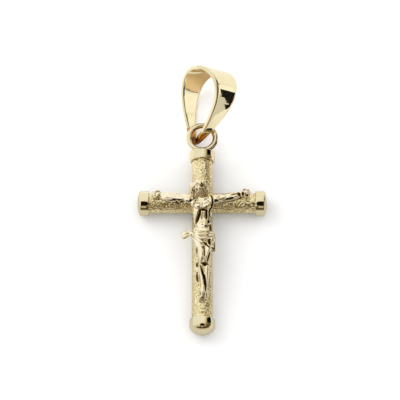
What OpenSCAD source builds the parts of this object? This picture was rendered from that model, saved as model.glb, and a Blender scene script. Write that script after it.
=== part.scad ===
// Crucifix pendant: a round-tube cross with polished end caps, an eye ring, a tapered strap bail
// and a cast corpus in relief. It lies on its back, with +Y towards the bail and +Z up.
// All lengths are millimetres and all angles are degrees.

/* [Tube cross] */
// Outside diameter of the round tube
tube_d = 2.25; // [1.9:0.05:2.6]
// Wall of the round tube
tube_wall = 0.25; // [0.15:0.05:0.4]
// From the crossing of the axes to the outer end of each side cap
arm_reach = 7.05; // [6.8:0.05:8.5]
// From the crossing of the axes down to the end of the foot cap
foot_reach = 15; // [14.5:0.1:17]
// From the crossing of the axes up to the top of the head cap
head_reach = 6.22; // [5.4:0.01:7.2]

/* [End caps] */
// Metal of a cap beside the tube
cap_wall = 0.22; // [0.15:0.01:0.4]
// Gap between a cap and the tube in it
cap_gap = 0.03; // [0.02:0.01:0.05]
// Least metal of a cap in front of the tube's end
cap_end_wall = 0.25; // [0.15:0.05:0.35]
// Length of the two side caps, dome and all
side_cap_len = 1.27; // [1.1:0.01:1.4]
// Depth of the dome on the two side caps
side_dome = 0.4; // [0.2:0.05:0.5]
// Length of the foot cap, dome and all
foot_cap_len = 1.7; // [1.6:0.05:2]
// Depth of the dome on the foot cap
foot_dome = 0.95; // [0.5:0.05:1]
// Length of the head cap, dome and all
head_cap_len = 1.35; // [1.25:0.01:1.6]
// Depth of the dome on the head cap
head_dome = 0.3; // [0.2:0.05:0.4]

/* [Eye ring] */
// Outside diameter of the eye ring
eye_od = 3.5; // [3.4:0.1:3.8]
// Thickness of the ring's wire
eye_wire = 0.6; // [0.4:0.02:0.62]
// How deep the wire is sunk in the head cap's dome
eye_sink = 0.2; // [0.15:0.01:0.3]

/* [Bail] */
// Length of the teardrop loop
bail_len = 8.7; // [8.3:0.1:9.1]
// Greatest width of the loop, over the strap
bail_across = 5.95; // [5.6:0.05:6.3]
// Thickness of the strap
bail_thick = 0.44; // [0.3:0.02:0.46]
// Width of the strap at its crown
bail_crown_w = 3.85; // [3.3:0.05:4]
// Width of the strap at its fold
bail_fold_w = 0.56; // [0.5:0.02:0.7]
// Least gap between the strap and the eye ring's wire
bail_gap = 0.03; // [0.02:0.01:0.05]

/* [Corpus] */
// Height of the figure from the crown of the head to the toes
figure_h = 13.9; // [12.5:0.1:14.5]
// Gap between the figure's fingertips and the side cap on its longer arm
hand_gap = 0.18; // [0.08:0.02:0.6]
// Width of the figure at the shoulders
shoulder_w = 2.16; // [1.8:0.02:2.4]
// How far the chest stands in front of the tube
relief = 0.85; // [0.6:0.05:1.1]
// How far the crown of the head is above the crossbar's axis
crown_up = 2.1; // [1.8:0.1:2.4]
// Gap between the figure's back and the tube
seat_gap = 0.03; // [0.02:0.01:0.06]

/* [Hidden] */

gold = [0.90, 0.78, 0.50];
pale_gold = [0.95, 0.86, 0.62];
round_fn = 64;

// Tube and caps
tube_r = tube_d / 2;
bore_r = tube_r + cap_gap;
cap_r = bore_r + cap_wall;
rim_edge = cap_wall / 4;
dome_steps = 8;

// Eye ring: its middle circle, and its centre above the crossing of the axes
eye_r = (eye_od - eye_wire) / 2;
eye_up = head_reach + eye_od / 2 - eye_sink;

// The teardrop's fullness above its middle, and the place of its greatest width
drop_bias = 0.5;
drop_wide = (sqrt(1 + 8 * drop_bias * drop_bias) - 1) / (4 * drop_bias);
drop_a = bail_across / 2 / (sqrt(1 - drop_wide * drop_wide) * (1 + drop_bias * drop_wide));
bail_steps = 72;

// How far the bail is rolled, raised and leant from lying flat along the cross, and where its
// fold lies in the eye ring, in shares of the ring's middle circle
bail_roll = 39.5;
bail_lift = 25;
bail_lean = 16;
fold_at = [-0.6, -0.335];

// Half width of the strap at a height above its fold
function strap_half(up) = (bail_fold_w + (bail_crown_w - bail_fold_w) * up / bail_len) / 2;

// The bail's turned edges, measured from its fold; its lowest edge rests on the surface
strap_edges = [
    for (i = [0:bail_steps - 1]) for (side = [-1, 1])
        let (p = drop_point(360 * i / bail_steps)) as_it_lies([p[0], p[1], side * strap_half(p[1])])
];
bail_low = min([for (e = strap_edges) e[2]]);
bail_top = max([for (e = strap_edges) e[1]]);

// A point of the bail, turned to lie as it rests: rolled, then raised, then leant
function as_it_lies(p) =
    let (
        x = p[0] * cos(bail_roll) - p[2] * sin(bail_roll),
        z = p[0] * sin(bail_roll) + p[2] * cos(bail_roll),
        y = p[1] * cos(bail_lift) - z * sin(bail_lift)
    )
    [
        x * cos(bail_lean) + y * sin(bail_lean),
        y * cos(bail_lean) - x * sin(bail_lean),
        p[1] * sin(bail_lift) + z * cos(bail_lift)
    ];

// From the figure's middle line to its fingertips, and the height of the loincloth's knot
figure_reach = arm_reach - side_cap_len - hand_gap;
knot_up = crown_up - figure_h * 0.437;

// The fold's place, and the middle of the whole along Y, from the crossing of the axes
fold_place = [eye_r * fold_at[0], eye_up + eye_r * fold_at[1], -cap_r - bail_low];
centre_y = (fold_place[1] + bail_top - foot_reach) / 2;

// Places every piece: the crossing of the tube axes goes to its place above the surface
module on_surface() {
    translate([0, -centre_y, cap_r]) children();
}

// Where a tube ends inside a cap, measured from the crossing of the axes
function tube_end(reach, dome) = reach - dome - cap_end_wall - cap_gap;

// Round bar along both axes of the cross
module cross_bars(r, extra) {
    right_end = tube_end(arm_reach, side_dome) + extra;
    head_end = tube_end(head_reach, head_dome) + extra;
    foot_end = tube_end(foot_reach, foot_dome) + extra;
    rotate([0, 90, 0]) cylinder(r = r, h = 2 * right_end, center = true, $fn = round_fn);
    translate([0, -foot_end, 0]) rotate([-90, 0, 0])
        cylinder(r = r, h = head_end + foot_end, $fn = round_fn);
}

// Upright and crossbar tubes, soldered into one hollow cross
module cross() {
    color(gold) on_surface() difference() {
        cross_bars(tube_r, 0);
        cross_bars(tube_r - tube_wall, cap_gap);
    }
}

// Half outline of a cap: a rim with a broken edge, a straight wall and an elliptical dome
function cap_outline(len, dome) = concat(
    [[0, 0], [cap_r - rim_edge, 0], [cap_r, rim_edge]],
    [for (i = [0:dome_steps])
        let (a = 90 * i / dome_steps)
        [cap_r * cos(a), len - dome + dome * sin(a)]]
);

// Cup that closes a tube end, its rim at the origin and its dome along +Z
module cap(len, dome) {
    bore_depth = len - dome - cap_end_wall;
    difference() {
        rotate_extrude($fn = round_fn) polygon(cap_outline(len, dome));
        translate([0, 0, -cap_gap])
            cylinder(r = bore_r, h = bore_depth + cap_gap, $fn = round_fn);
    }
}

module right_cap() {
    color(pale_gold) on_surface() translate([arm_reach - side_cap_len, 0, 0])
        rotate([0, 90, 0]) cap(side_cap_len, side_dome);
}

module left_cap() {
    color(pale_gold) on_surface() translate([side_cap_len - arm_reach, 0, 0])
        rotate([0, -90, 0]) cap(side_cap_len, side_dome);
}

module foot_cap() {
    color(pale_gold) on_surface() translate([0, foot_cap_len - foot_reach, 0])
        rotate([90, 0, 0]) cap(foot_cap_len, foot_dome);
}

// Wire ring of the eye, thicker all round by a gap
module eye_ring(gap) {
    translate([0, eye_up, 0]) rotate_extrude($fn = round_fn)
        translate([eye_r, 0]) circle(d = eye_wire + 2 * gap, $fn = 32);
}

// Head cap with the eye ring's wire soldered into the top of its dome
module head_cap() {
    color(pale_gold) on_surface() {
        translate([0, head_reach - head_cap_len, 0]) rotate([-90, 0, 0])
            cap(head_cap_len, head_dome);
        eye_ring(0);
    }
}

// Point on the teardrop, x across it and y up from its fold; a is 0 at the crown
function drop_point(a) = [
    drop_a * sin(a) * (1 + drop_bias * cos(a)),
    bail_len / 2 * (1 + cos(a))
];

// Direction into the loop at the same point
function drop_inward(a) =
    let (across = drop_a * (cos(a) + drop_bias * cos(2 * a)), up = -bail_len / 2 * sin(a))
    [up, -across] / norm([up, -across]);

// Outline of the loop, moved into it by a depth
function drop_outline(depth) = [
    for (i = [0:bail_steps - 1])
        let (a = 360 * i / bail_steps)
        drop_point(a) + depth * drop_inward(a)
];

// Strap of the bail: a teardrop loop whose width tapers from its crown to its fold, with clear
// room for the eye ring's wire
module bail() {
    half_crown = strap_half(bail_len);
    half_fold = strap_half(0);
    color(pale_gold) on_surface() difference() {
        translate(fold_place)
            rotate([0, 0, -bail_lean]) rotate([bail_lift, 0, 0]) rotate([0, -bail_roll, 0])
            intersection() {
                translate([0, 0, -bail_crown_w]) linear_extrude(2 * bail_crown_w) difference() {
                    polygon(drop_outline(0));
                    polygon(drop_outline(bail_thick));
                }
                translate([bail_across, 0, 0]) rotate([0, -90, 0])
                    linear_extrude(2 * bail_across) polygon([
                        [-half_fold, 0], [-half_crown, bail_len],
                        [half_crown, bail_len], [half_fold, 0]
                    ]);
            }
        eye_ring(bail_gap);
    }
}

// Closed skin through a list of rings that all have as many points
module skin(rings) {
    n = len(rings[0]);
    last = len(rings) - 1;
    polyhedron(
        points = [for (r = rings) for (p = r) p],
        faces = concat(
            [[for (i = [0:n - 1]) i]],
            [for (k = [0:last - 1]) for (i = [0:n - 1])
                let (j = (i + 1) % n)
                [k * n + i, (k + 1) * n + i, (k + 1) * n + j]],
            [for (k = [0:last - 1]) for (i = [0:n - 1])
                let (j = (i + 1) % n)
                [k * n + i, (k + 1) * n + j, k * n + j]],
            [[for (i = [n - 1:-1:0]) last * n + i]]
        )
    );
}

// Height of a point that stands in front of the tube by a share of the relief
function front(share) = tube_r + relief * share;

// Skin down the figure; a row holds: down from the crown (share of figure_h), aside and half
// width (shares of shoulder_w), front and half depth (shares of relief)
module body_skin(rows, n) {
    skin([for (row = rows) [for (i = [0:n - 1])
        let (a = 360 * i / n)
        [
            shoulder_w * (row[1] + row[2] * cos(a)),
            crown_up - figure_h * row[0],
            front(row[3] - row[4]) + relief * row[4] * sin(a)
        ]
    ]]);
}

// Skin out to one side from a height; a row holds: out (share of figure_reach), up and half width
// (shares of shoulder_w), front and half depth (shares of relief); side is 1 right and -1 left
module arm_skin(rows, side, n, height) {
    skin([for (row = rows) [for (i = [0:n - 1])
        let (a = side * 360 * i / n)
        [
            side * figure_reach * row[0],
            height + shoulder_w * (row[1] + row[2] * cos(a)),
            front(row[3] - row[4]) + relief * row[4] * sin(a)
        ]
    ]]);
}

torso_shares = [
    [0.135, -0.10, 0.16, 0.55, 0.80],
    [0.148, -0.06, 0.34, 0.62, 0.95],
    [0.163, 0.00, 0.46, 0.72, 1.10],
    [0.187, 0.01, 0.50, 0.88, 1.25],
    [0.219, 0.02, 0.49, 1.00, 1.35],
    [0.248, 0.02, 0.46, 0.96, 1.30],
    [0.275, 0.02, 0.42, 0.70, 1.05],
    [0.310, 0.03, 0.37, 0.52, 0.90],
    [0.352, 0.04, 0.34, 0.50, 0.90],
    [0.388, 0.05, 0.36, 0.60, 1.00],
    [0.424, 0.05, 0.41, 0.68, 1.05],
    [0.468, 0.04, 0.46, 0.70, 1.10],
    [0.511, 0.03, 0.45, 0.62, 1.05],
    [0.547, 0.02, 0.36, 0.45, 0.90]
];

head_shares = [
    [0.000, -0.34, 0.10, 0.75, 0.25],
    [0.012, -0.33, 0.24, 1.10, 0.55],
    [0.036, -0.31, 0.34, 1.42, 0.85],
    [0.064, -0.29, 0.37, 1.55, 0.98],
    [0.094, -0.26, 0.36, 1.58, 1.00],
    [0.122, -0.22, 0.31, 1.50, 0.92],
    [0.145, -0.18, 0.24, 1.40, 0.85],
    [0.166, -0.14, 0.15, 1.28, 0.70],
    [0.180, -0.12, 0.05, 1.05, 0.30]
];

nose_shares = [
    [0.072, -0.28, 0.03, 1.56, 0.12],
    [0.092, -0.26, 0.05, 1.72, 0.20],
    [0.104, -0.25, 0.06, 1.78, 0.22],
    [0.110, -0.24, 0.03, 1.62, 0.14]
];

left_hair_shares = [
    [0.020, -0.46, 0.10, 1.00, 0.40],
    [0.050, -0.57, 0.15, 1.10, 0.60],
    [0.085, -0.60, 0.15, 1.08, 0.65],
    [0.120, -0.55, 0.14, 1.00, 0.60],
    [0.150, -0.47, 0.12, 0.92, 0.50],
    [0.172, -0.42, 0.06, 0.80, 0.30]
];

right_hair_shares = [
    [0.015, -0.18, 0.10, 0.95, 0.40],
    [0.050, -0.02, 0.14, 1.12, 0.60],
    [0.085, 0.06, 0.14, 1.14, 0.65],
    [0.120, 0.10, 0.12, 1.12, 0.60],
    [0.150, 0.12, 0.10, 1.08, 0.55],
    [0.176, 0.13, 0.05, 0.95, 0.30]
];

loin_shares = [
    [0.420, 0.05, 0.42, 0.72, 1.10],
    [0.436, 0.05, 0.50, 0.86, 1.20],
    [0.460, 0.04, 0.53, 0.92, 1.25],
    [0.492, 0.03, 0.53, 0.90, 1.25],
    [0.520, 0.04, 0.50, 0.84, 1.20],
    [0.546, 0.12, 0.38, 0.78, 1.10],
    [0.566, 0.22, 0.22, 0.66, 0.95]
];

drape_shares = [
    [0.428, 0.44, 0.10, 0.30, 0.40],
    [0.460, 0.50, 0.14, 0.34, 0.55],
    [0.505, 0.52, 0.15, 0.26, 0.55],
    [0.550, 0.52, 0.14, 0.20, 0.50],
    [0.585, 0.53, 0.11, 0.12, 0.40],
    [0.600, 0.53, 0.05, 0.02, 0.20]
];

left_leg_shares = [
    [0.500, -0.20, 0.24, 0.62, 0.70],
    [0.560, -0.18, 0.24, 0.82, 0.75],
    [0.615, -0.13, 0.22, 1.02, 0.75],
    [0.662, -0.07, 0.19, 1.18, 0.80],
    [0.690, -0.05, 0.16, 1.10, 0.75],
    [0.720, -0.04, 0.15, 0.92, 0.65],
    [0.765, -0.02, 0.16, 0.84, 0.60],
    [0.815, 0.00, 0.14, 0.74, 0.55],
    [0.870, 0.02, 0.11, 0.66, 0.50],
    [0.905, 0.03, 0.11, 0.72, 0.55],
    [0.935, 0.03, 0.14, 0.74, 0.55],
    [0.970, 0.02, 0.16, 0.56, 0.45],
    [0.992, 0.01, 0.13, 0.38, 0.32],
    [1.000, 0.01, 0.06, 0.28, 0.20]
];

right_leg_shares = [
    [0.500, 0.22, 0.24, 0.58, 0.70],
    [0.560, 0.23, 0.22, 0.74, 0.72],
    [0.615, 0.21, 0.20, 0.92, 0.75],
    [0.655, 0.19, 0.17, 1.06, 0.78],
    [0.685, 0.18, 0.14, 0.96, 0.70],
    [0.720, 0.18, 0.14, 0.74, 0.60],
    [0.765, 0.18, 0.14, 0.60, 0.50],
    [0.830, 0.17, 0.12, 0.46, 0.42],
    [0.895, 0.15, 0.10, 0.40, 0.38],
    [0.930, 0.14, 0.11, 0.36, 0.35],
    [0.955, 0.12, 0.07, 0.22, 0.22]
];

left_arm_shares = [
    [0.110, -0.10, 0.17, 0.66, 0.60],
    [0.190, -0.06, 0.19, 0.66, 0.62],
    [0.280, 0.00, 0.18, 0.56, 0.56],
    [0.380, 0.02, 0.16, 0.50, 0.50],
    [0.490, 0.06, 0.14, 0.46, 0.45],
    [0.600, 0.12, 0.15, 0.46, 0.48],
    [0.700, 0.18, 0.13, 0.42, 0.46],
    [0.800, 0.26, 0.09, 0.36, 0.44]
];

left_hand_shares = [
    [0.780, 0.25, 0.08, 0.36, 0.40],
    [0.840, 0.30, 0.14, 0.44, 0.50],
    [0.900, 0.34, 0.19, 0.48, 0.55],
    [0.950, 0.37, 0.18, 0.42, 0.52],
    [0.985, 0.39, 0.13, 0.30, 0.42],
    [1.000, 0.40, 0.05, 0.15, 0.25]
];

right_arm_shares = [
    [0.110, -0.04, 0.17, 0.70, 0.60],
    [0.190, 0.00, 0.19, 0.68, 0.62],
    [0.280, 0.05, 0.18, 0.58, 0.58],
    [0.380, 0.10, 0.16, 0.52, 0.52],
    [0.490, 0.16, 0.14, 0.48, 0.50],
    [0.600, 0.23, 0.15, 0.48, 0.55],
    [0.700, 0.31, 0.13, 0.44, 0.55],
    [0.780, 0.37, 0.09, 0.38, 0.50]
];

right_hand_shares = [
    [0.760, 0.36, 0.08, 0.38, 0.45],
    [0.820, 0.38, 0.15, 0.46, 0.58],
    [0.880, 0.39, 0.20, 0.50, 0.62],
    [0.930, 0.39, 0.19, 0.44, 0.60],
    [0.965, 0.38, 0.13, 0.32, 0.48],
    [0.980, 0.38, 0.05, 0.15, 0.30]
];

// Knot and loose end of the loincloth, out to the left
flag_shares = [
    [0.130, 0.00, 0.12, 0.42, 0.45],
    [0.220, 0.04, 0.12, 0.36, 0.40],
    [0.260, 0.00, 0.16, 0.30, 0.38],
    [0.320, -0.04, 0.19, 0.22, 0.34],
    [0.380, -0.09, 0.18, 0.14, 0.28],
    [0.400, -0.11, 0.10, 0.06, 0.16]
];

// Cast figure, its back hollowed to seat on the round tubes
module corpus() {
    color(gold) on_surface() difference() {
        union() {
            body_skin(torso_shares, 20);
            body_skin(head_shares, 18);
            body_skin(nose_shares, 8);
            body_skin(left_hair_shares, 12);
            body_skin(right_hair_shares, 12);
            body_skin(left_leg_shares, 14);
            body_skin(right_leg_shares, 14);
            body_skin(loin_shares, 20);
            body_skin(drape_shares, 12);
            arm_skin(left_arm_shares, -1, 14, 0);
            arm_skin(left_hand_shares, -1, 12, 0);
            arm_skin(right_arm_shares, 1, 14, 0);
            arm_skin(right_hand_shares, 1, 12, 0);
            arm_skin(flag_shares, -1, 12, knot_up);
        }
        cross_bars(tube_r + seat_gap, 0);
    }
}

cross();
left_cap();
right_cap();
foot_cap();
head_cap();
bail();
corpus();
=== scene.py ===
import math

import bpy
import numpy as np
from mathutils import Matrix, Vector


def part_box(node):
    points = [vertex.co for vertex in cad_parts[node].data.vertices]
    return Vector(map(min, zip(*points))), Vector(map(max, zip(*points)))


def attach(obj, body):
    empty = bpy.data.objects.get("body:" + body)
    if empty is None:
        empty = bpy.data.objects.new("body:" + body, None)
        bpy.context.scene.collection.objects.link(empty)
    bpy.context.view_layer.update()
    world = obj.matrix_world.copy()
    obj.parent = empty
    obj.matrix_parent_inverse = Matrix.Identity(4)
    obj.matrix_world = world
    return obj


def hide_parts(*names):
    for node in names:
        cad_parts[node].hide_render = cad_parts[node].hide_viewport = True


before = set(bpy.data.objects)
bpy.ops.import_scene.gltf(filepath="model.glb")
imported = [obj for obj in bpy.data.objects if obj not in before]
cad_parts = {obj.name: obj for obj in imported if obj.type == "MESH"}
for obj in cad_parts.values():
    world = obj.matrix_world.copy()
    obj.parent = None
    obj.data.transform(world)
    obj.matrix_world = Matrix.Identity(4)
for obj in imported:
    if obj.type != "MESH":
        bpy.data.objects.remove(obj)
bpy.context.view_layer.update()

# The set. The pendant lies on a white sheet in a white light tent, and is seen from its foot
# side, about a quarter of a right angle off straight above.
MM = 0.001
scene = bpy.context.scene

tilt = math.radians(21.5)
seen_from = Vector((0, -math.sin(tilt), math.cos(tilt)))
side_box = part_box("left_cap")
axis_y = (side_box[0].y + side_box[1].y) / 2 / MM
axis_z = (side_box[0].z + side_box[1].z) / 2 / MM
aim = Vector((-0.24, axis_y + 0.42, axis_z)) * MM
lens_distance = 250 * MM
frame_width = 43.6 * MM

camera_data = bpy.data.cameras.new("camera")
camera_data.sensor_fit = "HORIZONTAL"
camera_data.angle = 2 * math.atan(frame_width / 2 / lens_distance)
camera_data.clip_start = 0.005
camera_data.clip_end = 20
camera = bpy.data.objects.new("camera", camera_data)
camera.location = aim + seen_from * lens_distance
camera.rotation_euler = (tilt, 0, 0)
scene.collection.objects.link(camera)
scene.camera = camera
scene.view_settings.view_transform = "Standard"
scene.view_settings.look = "None"


def add_node(tree, kind, **sockets):
    """A node of a tree, with values for its inputs by name."""
    node = tree.nodes.new(kind)
    for name, value in sockets.items():
        node.inputs[name.replace("_", " ")].default_value = value
    return node


def join_sockets(tree, *pairs):
    for out, into in pairs:
        tree.links.new(out, into)


def eased(tree, value, low, high, top=1.0):
    """Goes from 0 where the value is low to top where it is high, without corners."""
    node = add_node(tree, "ShaderNodeMapRange", From_Min=low, From_Max=high, To_Max=top)
    node.interpolation_type = "SMOOTHSTEP"
    tree.links.new(value, node.inputs["Value"])
    return node.outputs["Result"]


def matte(name, tone, rough):
    """Paper of one tone, without shine."""
    paper = bpy.data.materials.new(name)
    paper.use_nodes = True
    finish = paper.node_tree.nodes["Principled BSDF"]
    finish.inputs["Base Color"].default_value = (*tone, 1)
    finish.inputs["Roughness"].default_value = rough
    finish.inputs["Specular IOR Level"].default_value = 0.0
    return paper


def laid_flat(name, faces, paper):
    """An object of flat faces, each given by its corners in millimetres."""
    corners = [corner for face in faces for corner in face]
    starts = [sum(len(f) for f in faces[:k]) for k in range(len(faces))]
    mesh = bpy.data.meshes.new(name)
    mesh.from_pydata([tuple(v * MM for v in corner) for corner in corners], [],
                     [tuple(range(start, start + len(face))) for start, face in zip(starts, faces)])
    mesh.materials.append(paper)
    obj = bpy.data.objects.new(name, mesh)
    scene.collection.objects.link(obj)
    return obj


# The white sheet, with a painted pool of light under the bail that lifts the shade there: it glows
# full in the core and not at all at the edge
white = matte("white_sheet", (0.86, 0.86, 0.86), 0.9)
glow_at, glow_edge, glow_core, glow_light = (0.4, 11.0, 0), 8.0, 2.5, 0.24
place = add_node(white.node_tree, "ShaderNodeTexCoord")
off = add_node(white.node_tree, "ShaderNodeVectorMath")
off.operation = "DISTANCE"
off.inputs[1].default_value = Vector(glow_at) * MM
painted_light_pool = eased(white.node_tree, off.outputs["Value"], glow_edge * MM, glow_core * MM, glow_light)
paint = white.node_tree.nodes["Principled BSDF"]
paint.inputs["Emission Color"].default_value = (1, 1, 1, 1)
join_sockets(white.node_tree, (place.outputs["Object"], off.inputs[0]),
             (painted_light_pool, paint.inputs["Emission Strength"]))
sheet_edge = 3000
sheet_corners = [(x * sheet_edge, y * sheet_edge, 0) for x, y in ((-1, -1), (1, -1), (1, 1), (-1, 1))]
sheet = laid_flat("sheet", [sheet_corners], white)

# The tent: white all round, a little darker towards the front and high at the right, with the dark
# opening for the lens, a dark stand at the right and a thin seam low in front. What lies on the
# sheet is lit evenly, and the eye sees the tent plain white.
tent = bpy.data.worlds.new("tent")
scene.world = tent
tent.use_nodes = True
tent_tree = tent.node_tree
tent_tree.nodes.clear()
ray = add_node(tent_tree, "ShaderNodeTexCoord")
compass = add_node(tent_tree, "ShaderNodeSeparateXYZ")
join_sockets(tent_tree, (ray.outputs["Generated"], compass.inputs[0]))
east, north, up = compass.outputs


def tree_math(tree, op, *values):
    """A sum worked out in a tree, from numbers and sockets."""
    node = tree.nodes.new("ShaderNodeMath")
    node.operation = op
    for socket, value in zip(node.inputs, values):
        if isinstance(value, (int, float)):
            socket.default_value = value
        else:
            tree.links.new(value, socket)
    return node.outputs[0]


def tent_math(op, *values):
    return tree_math(tent_tree, op, *values)


def rising(value, low, high):
    return eased(tent_tree, value, low, high)


def towards(direction, low, high):
    """From 0 to 1 as a ray turns towards a direction; low and high are cosines."""
    node = tent_tree.nodes.new("ShaderNodeVectorMath")
    node.operation = "DOT_PRODUCT"
    node.inputs[1].default_value = Vector(direction).normalized()
    tent_tree.links.new(ray.outputs["Generated"], node.inputs[0])
    return rising(node.outputs["Value"], low, high)


def between(value, low, high, soft):
    return tent_math("MULTIPLY", rising(value, low - soft, low + soft),
                     tent_math("SUBTRACT", 1.0, rising(value, high - soft, high + soft)))


# The light is full at the back left and about half at the front right
glow = tent_math("MULTIPLY_ADD", towards((-0.45, 0.75, 0.55), -0.35, 0.75), 0.45, 0.55)
# The right side is darker above, and bright low down
shade = tent_math("MULTIPLY", towards((1, -0.1, 0.1), 0.25, 0.85), rising(up, 0.08, 0.16))
glow = tent_math("MULTIPLY", glow, tent_math("MULTIPLY_ADD", shade, -0.62, 1.0))
low_right = tent_math("MULTIPLY", towards((1, 0.1, 0), 0.6, 0.8),
                      tent_math("SUBTRACT", 1.0, rising(up, 0.08, 0.14)))
glow = tent_math("MAXIMUM", glow, tent_math("MULTIPLY", low_right, 1.2))
# The dark places: opening, stand, seam, and narrow upright slats in front at the right
lens_hole = towards(seen_from, math.cos(math.radians(22)), math.cos(math.radians(20)))
heading = tent_math("ARCTAN2", north, east)
stand = tent_math("MULTIPLY", between(heading, 0.325, 0.62, 0.02), between(up, 0.03, 0.66, 0.015))
seam = tent_math("MULTIPLY", between(up, 0.17, 0.45, 0.03), towards((0, -1, 0.3), 0.72, 0.8))
slats = rising(tent_math("SINE", tent_math("MULTIPLY_ADD", heading, 11.0, 3.13)), 0.1, 0.4)
slats = tent_math("MULTIPLY", tent_math("MULTIPLY", slats, between(up, 0.14, 0.74, 0.03)),
                  towards((0.62, -0.78, 0.25), 0.35, 0.5))
fainter = tent_math("MAXIMUM", tent_math("MULTIPLY", seam, 0.88), tent_math("MULTIPLY", slats, 0.8))
dark = tent_math("MAXIMUM", tent_math("MAXIMUM", lens_hole, stand), fainter)
glow = tent_math("MULTIPLY", glow, tent_math("MULTIPLY_ADD", dark, -0.985, 1.0))


def two_tones(tree, value, *stops):
    """A colour that goes from one stop to the next, each a place and a colour."""
    ramp = tree.nodes.new("ShaderNodeValToRGB")
    for element, (stop, colour) in zip(ramp.color_ramp.elements, stops):
        element.position = stop
        element.color = (*colour, 1)
    tree.links.new(value, ramp.inputs[0])
    return ramp.outputs[0]


warmth = two_tones(tent_tree, glow, (0.2, (1.0, 0.76, 0.38)), (0.9, (1.0, 0.995, 0.985)))
mirrored = add_node(tent_tree, "ShaderNodeBackground")
plain = add_node(tent_tree, "ShaderNodeBackground", Color=(1, 1, 1, 1), Strength=1.17)
path = add_node(tent_tree, "ShaderNodeLightPath")
both = add_node(tent_tree, "ShaderNodeMixShader")
out = add_node(tent_tree, "ShaderNodeOutputWorld")
seen_plain = tent_math("MAXIMUM", path.outputs["Is Camera Ray"], path.outputs["Is Diffuse Ray"])
join_sockets(tent_tree, (warmth, mirrored.inputs["Color"]), (glow, mirrored.inputs["Strength"]),
             (seen_plain, both.inputs["Fac"]), (mirrored.outputs[0], both.inputs[1]),
             (plain.outputs[0], both.inputs[2]), (both.outputs[0], out.inputs["Surface"]))

lamp_data = bpy.data.lights.new("soft_box", "AREA")
lamp_data.shape = "DISK"
lamp_data.size = 0.5
lamp_data.energy = 1.0
lamp_data.color = (1.0, 0.99, 0.97)
lamp = bpy.data.objects.new("soft_box", lamp_data)
lamp_way = Vector((-0.75, 0.4, 0.75)).normalized()
lamp_distance = 0.6
lamp.location = aim + lamp_way * lamp_distance
lamp.rotation_euler = (-lamp_way).to_track_quat("-Z", "Y").to_euler()
scene.collection.objects.link(lamp)
lamp.visible_glossy = False

# Cards out of the camera's sight that only the polished metal mirrors, so all of them are painted
# reflections: a black one with a rounded edge standing at the right, a black strip bent round the ring,
# black and tan paper beside the bail, the tan standing for the floor there in painted shade warmed by
# the gold, and grey paper on the sheet in front, a darker floor in the reflections
eye_r, wire_r = 1.45, 0.3
eye_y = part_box("head_cap")[1].y / MM - eye_r - wire_r
bend_r, bend_low, bend_high = 2.15, 0.5, 1.52
bend = [(bend_r * math.cos(math.radians(a)), eye_y + bend_r * math.sin(math.radians(a)))
        for a in range(-52, -9, 6)]
strip = [[(*a, bend_low), (*b, bend_low), (*b, bend_high), (*a, bend_high)] for a, b in zip(bend, bend[1:])]
card_x, card_z = 20, 0.1
right_card = [(card_x, y, z) for y, z in (
    (13.2, 6.4), (11.8, 5.95), (9.5, 5.2), (6.2, 3.85), (5.6, 3.1), (4.4, 2.2), (2.8, 0.9), (2.4, 0.1),
    (4.1, 0.1), (5.2, 0.8), (9.8, 2.9), (12.7, 3.5))]
fold_card = [(card_x + 0.1, y, z) for y, z in (
    (10.1, 0.0), (10.5, 0.0), (10.4, 0.8), (9.9, 1.3), (8.3, 1.4), (8.3, 1.1), (9.6, 1.0), (10.0, 0.7))]
black_paper = [(x, y, card_z) for x, y in ((12.2, 3.6), (20, 1.4), (20, 3.7), (13.6, 4.5))]
tan_shade_paper = [(x, y, card_z) for x, y in (
    (0.2, 4.8), (2.4, 4.8), (2.4, 8.5), (9.2, 6.6), (20.1, 5.4), (20.1, 10.1), (6, 11.8), (3, 14.6),
    (0.2, 14.6))]
tan_card = [(card_x + 0.2, y, z) for y, z in (
    (4.8, 0.0), (10.1, 0.0), (10.0, 0.7), (9.6, 1.0), (8.3, 1.1), (4.8, 1.1))]
grey_paper = [(x, y, 0.05) for x, y in ((-150, -300), (150, -300), (150, 3.5), (-150, 3.5))]
for name, tone, faces in (("black_card", (0.01, 0.01, 0.01), [*strip, right_card, fold_card, black_paper]),
                          ("tan_shade_paper", (0.70, 0.53, 0.36), [tan_shade_paper, tan_card]),
                          ("grey_paper", (0.60, 0.60, 0.585), [grey_paper])):
    card = laid_flat(name, faces, matte(name, tone, 1.0))
    card.visible_camera = card.visible_diffuse = card.visible_shadow = False

# The cross. Two hollow gold tubes soldered into one, the outside struck all over with fine
# pointed dents that sparkle. Its axes cross over the middle of the crossbar's caps.
tube_low, tube_high = (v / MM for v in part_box("cross"))
tube_r = axis_z - tube_low.z
tube_grid = 0.055
mark_size, mark_depth, field_wave = 0.22, 0.14, 0.06
mark_edge, mark_core = 0.46, 0.16


def piece(name, mesh, material, node):
    """A finished piece in the frame: mesh in millimetres in, object in metres out."""
    mesh.transform(Matrix.Scale(MM, 4))
    mesh.name = name
    obj = bpy.data.objects.new(name, mesh)
    scene.collection.objects.link(obj)
    mesh.materials.clear()
    mesh.materials.append(material)
    mesh.update()
    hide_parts(node)
    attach(obj, "root")
    return obj


def mesh_of(points, faces):
    mesh = bpy.data.meshes.new("work")
    mesh.from_pydata([tuple(p) for p in points], [], [tuple(f) for f in faces])
    mesh.validate()
    return mesh


def worked(mesh, tool, inputs=(), **settings):
    """The plain mesh that a modifier makes of a mesh."""
    obj = bpy.data.objects.new("work", mesh)
    scene.collection.objects.link(obj)
    modifier = obj.modifiers.new("work", tool)
    for name, value in settings.items():
        setattr(modifier, name, value)
    for socket, value in inputs:
        modifier[socket] = value
    made = bpy.data.meshes.new_from_object(obj.evaluated_get(bpy.context.evaluated_depsgraph_get()))
    bpy.data.objects.remove(obj)
    return made


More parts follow.
